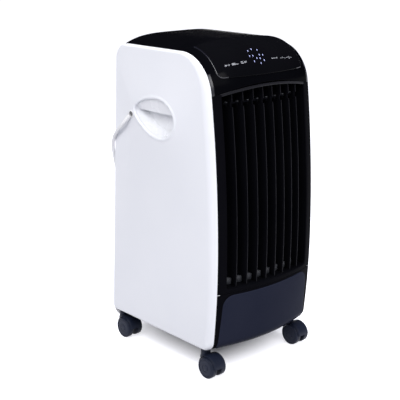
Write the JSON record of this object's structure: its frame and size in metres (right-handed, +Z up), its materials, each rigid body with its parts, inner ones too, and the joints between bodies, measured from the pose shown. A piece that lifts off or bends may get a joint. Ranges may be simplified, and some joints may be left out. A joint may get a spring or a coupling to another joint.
{
  "type": "evaporative cooler",
  "caption": "Upright room cooler on casters: black bowed front with swinging louvres, white sides with handle pockets, blower, wet pad and pull-out water tank.",
  "frame": {"origin": "on the floor under the middle of the cabinet", "axes": "+Z up, -Y out of the louvred front, +X to the right seen from the front"},
  "size_m": [0.2653, 0.4022, 0.5958],
  "materials": {
    "panel_white": "moulded gloss white",
    "gloss_black": "polished black",
    "slate_front": "satin slate",
    "louvre_black": "satin black",
    "chassis_black": "fine grain black",
    "caster_plastic": "satin dark",
    "scroll_grey": "plain grey",
    "bright_steel": "bright zinc",
    "pad_cellulose": "rough honeycomb",
    "filter_mesh": "fine woven mesh",
    "tank_plastic": "satin white",
    "indicator_lens": "clear",
    "circuit_board": "solder mask",
    "cord_white": "smooth white sheath"
  },
  "bodies": {
    "cabinet": {"base_chassis": "chassis_black", "mid_deck": "chassis_black", "left_side_panel": "panel_white", "right_side_panel": "panel_white", "left_handle_cup": "panel_white", "right_handle_cup": "panel_white", "rear_frame": "panel_white", "top_cover": "gloss_black", "control_panel": "gloss_black", "display_leds": "indicator_lens", "control_board": "circuit_board", "front_bezel": "gloss_black", "louvre_box": "louvre_black", "lower_front_frame": "gloss_black", "lower_front_panel": "slate_front", "scroll_left_half": "scroll_grey", "scroll_right_half": "scroll_grey", "motor_bracket": "bright_steel", "fan_motor": "bright_steel", "swing_motor": "bright_steel", "cooling_pad": "pad_cellulose", "distributor_tray": "panel_white", "riser_tube": "scroll_grey", "cord_gland": "cord_white", "power_cord": "cord_white", "cord_coil": "cord_white", "mains_plug": "cord_white"},
    "blower": {"blower_wheel": "louvre_black", "motor_shaft": "bright_steel"},
    "tank": {"water_tank": "tank_plastic", "pump_body": "chassis_black"},
    "impeller": {"pump_impeller": "panel_white"},
    "filter": {"filter_panel": "panel_white", "dust_filter": "filter_mesh"},
    "vane_4": {"vane_4": "louvre_black"},
    "vane_1": {"vane_1": "louvre_black"},
    "vane_2": {"vane_2": "louvre_black"},
    "vane_3": {"vane_3": "louvre_black"},
    "vane_5": {"vane_5": "louvre_black"},
    "vane_6": {"vane_6": "louvre_black"},
    "vane_7": {"vane_7": "louvre_black"},
    "vane_8": {"vane_8": "louvre_black"},
    "vane_link": {"vane_link": "louvre_black"},
    "blade_4": {"blade_4": "louvre_black"},
    "blade_1": {"blade_1": "louvre_black"},
    "blade_2": {"blade_2": "louvre_black"},
    "blade_3": {"blade_3": "louvre_black"},
    "blade_5": {"blade_5": "louvre_black"},
    "blade_6": {"blade_6": "louvre_black"},
    "blade_7": {"blade_7": "louvre_black"},
    "blade_8": {"blade_8": "louvre_black"},
    "blade_link": {"blade_link": "louvre_black"},
    "caster_front_left": {"caster_hood_front_left": "caster_plastic"},
    "wheels_front_left": {"caster_wheels_front_left": "caster_plastic"},
    "caster_front_right": {"caster_hood_front_right": "caster_plastic"},
    "wheels_front_right": {"caster_wheels_front_right": "caster_plastic"},
    "caster_rear_left": {"caster_hood_rear_left": "caster_plastic"},
    "wheels_rear_left": {"caster_wheels_rear_left": "caster_plastic"},
    "caster_rear_right": {"caster_hood_rear_right": "caster_plastic"},
    "wheels_rear_right": {"caster_wheels_rear_right": "caster_plastic"}
  },
  "joints": [
    {"name": "blower_spin", "type": "hinge", "parent": "cabinet", "child": "blower", "pos_m": [0, 0.0135, 0.2902], "axis": [1, 0, 0], "continuous": true},
    {"name": "tank_slide", "type": "slide", "parent": "cabinet", "child": "tank", "axis": [0, 1, 0], "range_m": [0, 0.2]},
    {"name": "pump_spin", "type": "hinge", "parent": "tank", "child": "impeller", "pos_m": [-0.0585, 0.09008, 0.065], "axis": [0, 0, 1], "continuous": true},
    {"name": "filter_tilt", "type": "hinge", "parent": "cabinet", "child": "filter", "pos_m": [0, 0.14623, 0.17786], "axis": [-1, 0, 0], "range_deg": [0, 35]},
    {"name": "vane_swing_4", "type": "hinge", "parent": "cabinet", "child": "vane_4", "pos_m": [-0.01115, -0.12834, 0.34787], "axis": [0, 0, 1], "range_deg": [-32, 32]},
    {"name": "vane_swing_1", "type": "hinge", "parent": "cabinet", "child": "vane_1", "pos_m": [-0.07805, -0.12069, 0.34787], "axis": [0, 0, 1], "range_deg": [-32, 32]},
    {"name": "vane_swing_2", "type": "hinge", "parent": "cabinet", "child": "vane_2", "pos_m": [-0.05575, -0.12452, 0.34787], "axis": [0, 0, 1], "range_deg": [-32, 32]},
    {"name": "vane_swing_3", "type": "hinge", "parent": "cabinet", "child": "vane_3", "pos_m": [-0.03345, -0.12707, 0.34787], "axis": [0, 0, 1], "range_deg": [-32, 32]},
    {"name": "vane_swing_5", "type": "hinge", "parent": "cabinet", "child": "vane_5", "pos_m": [0.01115, -0.12834, 0.34787], "axis": [0, 0, 1], "range_deg": [-32, 32]},
    {"name": "vane_swing_6", "type": "hinge", "parent": "cabinet", "child": "vane_6", "pos_m": [0.03345, -0.12707, 0.34787], "axis": [0, 0, 1], "range_deg": [-32, 32]},
    {"name": "vane_swing_7", "type": "hinge", "parent": "cabinet", "child": "vane_7", "pos_m": [0.05575, -0.12452, 0.34787], "axis": [0, 0, 1], "range_deg": [-32, 32]},
    {"name": "vane_swing_8", "type": "hinge", "parent": "cabinet", "child": "vane_8", "pos_m": [0.07805, -0.12069, 0.34787], "axis": [0, 0, 1], "range_deg": [-32, 32]},
    {"name": "vane_tie", "type": "hinge", "parent": "vane_4", "child": "vane_link", "pos_m": [-0.01115, -0.12234, 0.49475], "axis": [0, 0, 1], "range_deg": [-32, 32]},
    {"name": "blade_tilt_4", "type": "hinge", "parent": "cabinet", "child": "blade_4", "pos_m": [0, -0.0825, 0.32987], "axis": [1, 0, 0], "range_deg": [-30, 30]},
    {"name": "blade_tilt_1", "type": "hinge", "parent": "cabinet", "child": "blade_1", "pos_m": [0, -0.0825, 0.22187], "axis": [1, 0, 0], "range_deg": [-30, 30]},
    {"name": "blade_tilt_2", "type": "hinge", "parent": "cabinet", "child": "blade_2", "pos_m": [0, -0.0825, 0.25788], "axis": [1, 0, 0], "range_deg": [-30, 30]},
    {"name": "blade_tilt_3", "type": "hinge", "parent": "cabinet", "child": "blade_3", "pos_m": [0, -0.0825, 0.29387], "axis": [1, 0, 0], "range_deg": [-30, 30]},
    {"name": "blade_tilt_5", "type": "hinge", "parent": "cabinet", "child": "blade_5", "pos_m": [0, -0.0825, 0.36588], "axis": [1, 0, 0], "range_deg": [-30, 30]},
    {"name": "blade_tilt_6", "type": "hinge", "parent": "cabinet", "child": "blade_6", "pos_m": [0, -0.0825, 0.40187], "axis": [1, 0, 0], "range_deg": [-30, 30]},
    {"name": "blade_tilt_7", "type": "hinge", "parent": "cabinet", "child": "blade_7", "pos_m": [0, -0.0825, 0.43788], "axis": [1, 0, 0], "range_deg": [-30, 30]},
    {"name": "blade_tilt_8", "type": "hinge", "parent": "cabinet", "child": "blade_8", "pos_m": [0, -0.0825, 0.47387], "axis": [1, 0, 0], "range_deg": [-30, 30]},
    {"name": "blade_tie", "type": "hinge", "parent": "blade_4", "child": "blade_link", "pos_m": [0.06, -0.0735, 0.32987], "axis": [1, 0, 0], "range_deg": [-30, 30]},
    {"name": "front_left_swivel", "type": "hinge", "parent": "cabinet", "child": "caster_front_left", "pos_m": [-0.11, -0.1005, 0.05], "axis": [0, 0, 1], "continuous": true},
    {"name": "front_left_roll", "type": "hinge", "parent": "caster_front_left", "child": "wheels_front_left", "pos_m": [-0.11, -0.1175, 0.02], "axis": [1, 0, 0], "continuous": true},
    {"name": "front_right_swivel", "type": "hinge", "parent": "cabinet", "child": "caster_front_right", "pos_m": [0.11, -0.1005, 0.05], "axis": [0, 0, 1], "continuous": true},
    {"name": "front_right_roll", "type": "hinge", "parent": "caster_front_right", "child": "wheels_front_right", "pos_m": [0.11, -0.1175, 0.02], "axis": [1, 0, 0], "continuous": true},
    {"name": "rear_left_swivel", "type": "hinge", "parent": "cabinet", "child": "caster_rear_left", "pos_m": [-0.11, 0.1415, 0.05], "axis": [0, 0, 1], "continuous": true},
    {"name": "rear_left_roll", "type": "hinge", "parent": "caster_rear_left", "child": "wheels_rear_left", "pos_m": [-0.11, 0.1245, 0.02], "axis": [1, 0, 0], "continuous": true},
    {"name": "rear_right_swivel", "type": "hinge", "parent": "cabinet", "child": "caster_rear_right", "pos_m": [0.11, 0.1415, 0.05], "axis": [0, 0, 1], "continuous": true},
    {"name": "rear_right_roll", "type": "hinge", "parent": "caster_rear_right", "child": "wheels_rear_right", "pos_m": [0.11, 0.1245, 0.02], "axis": [1, 0, 0], "continuous": true}
  ],
  "couplings": [
    {"joint": "vane_swing_1", "follows": "vane_swing_4", "ratio": 1},
    {"joint": "vane_swing_2", "follows": "vane_swing_4", "ratio": 1},
    {"joint": "vane_swing_3", "follows": "vane_swing_4", "ratio": 1},
    {"joint": "vane_swing_5", "follows": "vane_swing_4", "ratio": 1},
    {"joint": "vane_swing_6", "follows": "vane_swing_4", "ratio": 1},
    {"joint": "vane_swing_7", "follows": "vane_swing_4", "ratio": 1},
    {"joint": "vane_swing_8", "follows": "vane_swing_4", "ratio": 1},
    {"joint": "vane_tie", "follows": "vane_swing_4", "ratio": -1},
    {"joint": "blade_tilt_1", "follows": "blade_tilt_4", "ratio": 1},
    {"joint": "blade_tilt_2", "follows": "blade_tilt_4", "ratio": 1},
    {"joint": "blade_tilt_3", "follows": "blade_tilt_4", "ratio": 1},
    {"joint": "blade_tilt_5", "follows": "blade_tilt_4", "ratio": 1},
    {"joint": "blade_tilt_6", "follows": "blade_tilt_4", "ratio": 1},
    {"joint": "blade_tilt_7", "follows": "blade_tilt_4", "ratio": 1},
    {"joint": "blade_tilt_8", "follows": "blade_tilt_4", "ratio": 1},
    {"joint": "blade_tie", "follows": "blade_tilt_4", "ratio": -1}
  ]
}
